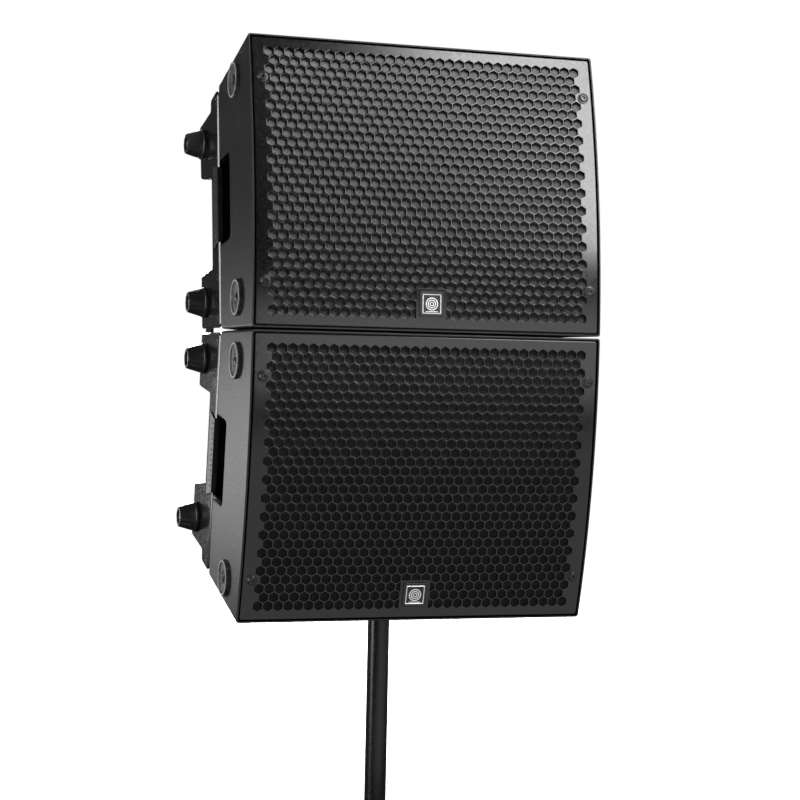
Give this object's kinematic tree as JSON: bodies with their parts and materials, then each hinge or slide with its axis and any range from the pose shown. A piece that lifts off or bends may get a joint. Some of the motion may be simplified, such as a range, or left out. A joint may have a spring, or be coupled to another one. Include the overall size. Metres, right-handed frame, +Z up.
{
  "type": "line array speaker",
  "caption": "Stack of wedge-shaped line array cabinets with curved perforated grilles and side rigging, on a speaker pole.",
  "frame": {"origin": "centre of the pole's lower shoulder, on the pole's axis", "axes": "+Z up along the pole, -Y out of the grilles, +X to the right of someone facing the grilles"},
  "size_m": [0.616, 0.47, 1.2777],
  "materials": {
    "painted_wood": "black textured paint on plywood",
    "grille": "satin black powder coat, perforated",
    "foam": "charcoal acoustic foam",
    "badge": "brushed plate with a raised frame, no mark",
    "wood": "black stained plywood",
    "moulding": "moulded black plastic",
    "basket": "black painted casting",
    "cone": "treated paper cone with a rubber surround",
    "panel": "black anodised panel and heat sink",
    "chassis": "bare folded steel",
    "rubber": "black rubber",
    "steel": "satin black powder coat"
  },
  "bodies": {
    "pole": {"pole_tube": "steel", "pole_foot": "steel"},
    "array": {"upper_shell": "painted_wood", "upper_grille": "grille", "upper_grille_foam": "foam", "upper_badge": "badge", "upper_baffle": "wood", "upper_waveguide": "moulding", "upper_hf_driver": "basket", "upper_amp_panel": "panel", "upper_amp_chassis": "chassis", "upper_power_inlet": "moulding", "upper_woofer_left": "basket", "upper_rigging_left": "steel", "upper_foot_left_top": "rubber", "upper_foot_left_bottom": "rubber", "upper_woofer_right": "basket", "upper_rigging_right": "steel", "upper_foot_right_top": "rubber", "upper_foot_right_bottom": "rubber", "lower_shell": "painted_wood", "lower_grille": "grille", "lower_grille_foam": "foam", "lower_badge": "badge", "lower_baffle": "wood", "lower_waveguide": "moulding", "lower_hf_driver": "basket", "lower_amp_panel": "panel", "lower_amp_chassis": "chassis", "lower_power_inlet": "moulding", "lower_woofer_left": "basket", "lower_rigging_left": "steel", "lower_foot_left_bottom": "rubber", "lower_foot_left_top": "rubber", "lower_woofer_right": "basket", "lower_rigging_right": "steel", "lower_foot_right_bottom": "rubber", "lower_foot_right_top": "rubber", "link_left": "steel", "link_right": "steel", "pole_cup": "steel"},
    "upper_level_knob": {"upper_level_knob": "moulding"},
    "upper_mode_button": {"upper_mode_button": "rubber"},
    "upper_power_switch": {"upper_power_switch": "moulding"},
    "upper_cone_left": {"upper_cone_left": "cone"},
    "upper_knob_left_top": {"upper_knob_left_top": "moulding"},
    "upper_knob_left_bottom": {"upper_knob_left_bottom": "moulding"},
    "upper_cone_right": {"upper_cone_right": "cone"},
    "upper_knob_right_top": {"upper_knob_right_top": "moulding"},
    "upper_knob_right_bottom": {"upper_knob_right_bottom": "moulding"},
    "lower_level_knob": {"lower_level_knob": "moulding"},
    "lower_mode_button": {"lower_mode_button": "rubber"},
    "lower_power_switch": {"lower_power_switch": "moulding"},
    "lower_cone_left": {"lower_cone_left": "cone"},
    "lower_knob_left_bottom": {"lower_knob_left_bottom": "moulding"},
    "lower_knob_left_top": {"lower_knob_left_top": "moulding"},
    "lower_cone_right": {"lower_cone_right": "cone"},
    "lower_knob_right_bottom": {"lower_knob_right_bottom": "moulding"},
    "lower_knob_right_top": {"lower_knob_right_top": "moulding"}
  },
  "joints": [
    {"name": "array_swivel", "type": "hinge", "parent": "pole", "child": "array", "pos_m": [0, 0, 0.45], "axis": [0, 0, 1], "continuous": true},
    {"name": "upper_level_turn", "type": "hinge", "parent": "array", "child": "upper_level_knob", "pos_m": [0.112, 0.20866, 1.0591], "axis": [0, 0.9903, -0.1392], "range_deg": [-150, 150]},
    {"name": "upper_mode_press", "type": "slide", "parent": "array", "child": "upper_mode_button", "axis": [0, -0.9903, 0.1392], "range_m": [0, 0.003], "stiffness_N_per_m": 300, "springref_m": -0.002},
    {"name": "upper_switch_rock", "type": "hinge", "parent": "array", "child": "upper_power_switch", "pos_m": [0.112, 0.19335, 0.95017], "axis": [1, 0, 0], "range_deg": [0, 14]},
    {"name": "upper_cone_left_travel", "type": "slide", "parent": "array", "child": "upper_cone_left", "axis": [0, 0.9903, -0.1392], "range_m": [-0.006, 0.006], "stiffness_N_per_m": 2500},
    {"name": "upper_clamp_left_top", "type": "hinge", "parent": "array", "child": "upper_knob_left_top", "pos_m": [-0.277, 0.11406, 1.1138], "axis": [-1, 0, 0], "continuous": true},
    {"name": "upper_clamp_left_bottom", "type": "hinge", "parent": "array", "child": "upper_knob_left_bottom", "pos_m": [-0.277, 0.07801, 0.85732], "axis": [-1, 0, 0], "continuous": true},
    {"name": "upper_cone_right_travel", "type": "slide", "parent": "array", "child": "upper_cone_right", "axis": [0, 0.9903, -0.1392], "range_m": [-0.006, 0.006], "stiffness_N_per_m": 2500},
    {"name": "upper_clamp_right_top", "type": "hinge", "parent": "array", "child": "upper_knob_right_top", "pos_m": [0.277, 0.11406, 1.1138], "axis": [1, 0, 0], "continuous": true},
    {"name": "upper_clamp_right_bottom", "type": "hinge", "parent": "array", "child": "upper_knob_right_bottom", "pos_m": [0.277, 0.07801, 0.85732], "axis": [1, 0, 0], "continuous": true},
    {"name": "lower_level_turn", "type": "hinge", "parent": "array", "child": "lower_level_knob", "pos_m": [0.112, 0.18584, 0.72828], "axis": [0, 0.9903, 0.1392], "range_deg": [-150, 150]},
    {"name": "lower_mode_press", "type": "slide", "parent": "array", "child": "lower_mode_button", "axis": [0, -0.9903, -0.1392], "range_m": [0, 0.003], "stiffness_N_per_m": 300, "springref_m": -0.002},
    {"name": "lower_switch_rock", "type": "hinge", "parent": "array", "child": "lower_power_switch", "pos_m": [0.112, 0.20115, 0.61935], "axis": [1, 0, 0], "range_deg": [0, 14]},
    {"name": "lower_cone_left_travel", "type": "slide", "parent": "array", "child": "lower_cone_left", "axis": [0, 0.9903, 0.1392], "range_m": [-0.006, 0.006], "stiffness_N_per_m": 2500},
    {"name": "lower_clamp_left_bottom", "type": "hinge", "parent": "array", "child": "lower_knob_left_bottom", "pos_m": [-0.277, 0.11406, 0.51118], "axis": [-1, 0, 0], "continuous": true},
    {"name": "lower_clamp_left_top", "type": "hinge", "parent": "array", "child": "lower_knob_left_top", "pos_m": [-0.277, 0.07801, 0.76766], "axis": [-1, 0, 0], "continuous": true},
    {"name": "lower_cone_right_travel", "type": "slide", "parent": "array", "child": "lower_cone_right", "axis": [0, 0.9903, 0.1392], "range_m": [-0.006, 0.006], "stiffness_N_per_m": 2500},
    {"name": "lower_clamp_right_bottom", "type": "hinge", "parent": "array", "child": "lower_knob_right_bottom", "pos_m": [0.277, 0.11406, 0.51118], "axis": [1, 0, 0], "continuous": true},
    {"name": "lower_clamp_right_top", "type": "hinge", "parent": "array", "child": "lower_knob_right_top", "pos_m": [0.277, 0.07801, 0.76766], "axis": [1, 0, 0], "continuous": true}
  ]
}
